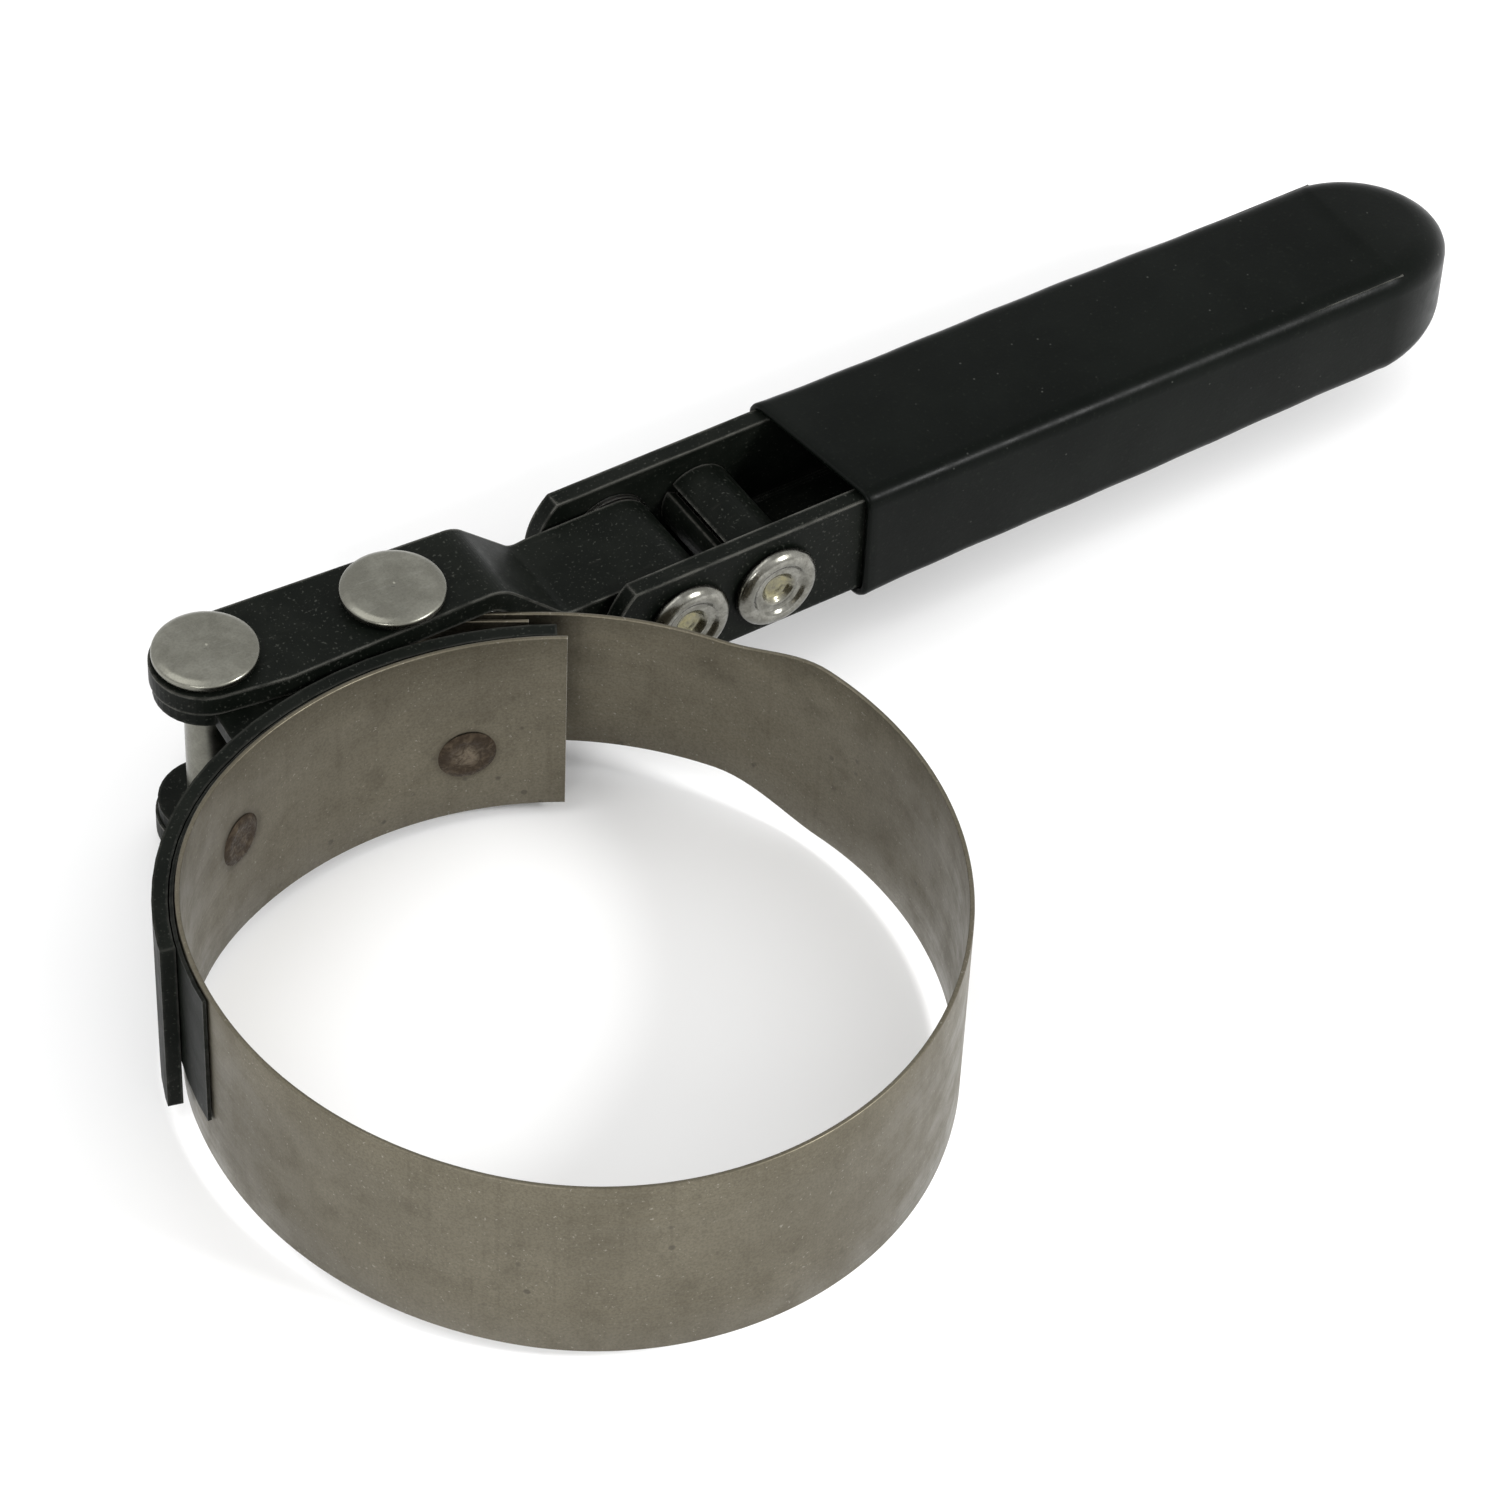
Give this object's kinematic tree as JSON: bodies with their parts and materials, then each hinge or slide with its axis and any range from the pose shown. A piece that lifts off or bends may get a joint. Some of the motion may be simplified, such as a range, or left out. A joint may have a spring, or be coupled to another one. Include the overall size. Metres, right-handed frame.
{
  "type": "oil filter wrench",
  "caption": "Band wrench for spin-on oil filters: a steel band loop on a curved shoe, tightened by a pivoting strap lever with a swivelling vinyl-gripped handle.",
  "frame": {"origin": "on the shoe pivot rivet's axis, in the plane of the lower ends of the pivot rivets", "axes": "+X along the handle towards its tip, +Z along the band's and pivot rivets' axes, +Y away from the ring"},
  "size_m": [0.1803, 0.0956, 0.0278],
  "materials": {
    "band_steel": "satin",
    "weld_nugget": "matte",
    "zinc_plate": "satin",
    "spring_steel": "satin",
    "black_finish": "satin",
    "black_vinyl": "matte"
  },
  "bodies": {
    "ring": {"band_hoop": "band_steel", "shoe": "black_finish", "backing_strip": "black_finish", "shoe_spot_weld_1": "weld_nugget", "shoe_spot_weld_2": "weld_nugget", "shoe_pivot_rivet": "zinc_plate"},
    "lever": {"lever_strap": "black_finish", "band_pivot_rivet": "zinc_plate"},
    "band_end": {"band_tail": "band_steel", "flap_spot_weld_1": "weld_nugget", "flap_spot_weld_2": "weld_nugget"},
    "handle": {"handle_channel": "black_finish", "grip": "black_vinyl", "swivel_rivet": "zinc_plate", "spacer_rivet": "zinc_plate", "rolled_spacer": "black_finish", "near_friction_washer": "spring_steel", "far_friction_washer": "spring_steel"}
  },
  "joints": [
    {"name": "lever_swing", "type": "hinge", "parent": "ring", "child": "lever", "pos_m": [0, 0, 0.0139], "axis": [0, 0, 1], "range_deg": [0, 20]},
    {"name": "band_flex", "type": "hinge", "parent": "ring", "child": "band_end", "pos_m": [0.0623, 0.00335, 0.0139], "axis": [0, 0, 1], "range_deg": [-10, 0]},
    {"name": "handle_swivel", "type": "hinge", "parent": "lever", "child": "handle", "pos_m": [0.0519, -0.0009, 0.0139], "axis": [0, 1, 0], "range_deg": [-90, 90]}
  ],
  "couplings": [
    {"joint": "band_flex", "follows": "lever_swing", "ratio": -0.5}
  ]
}
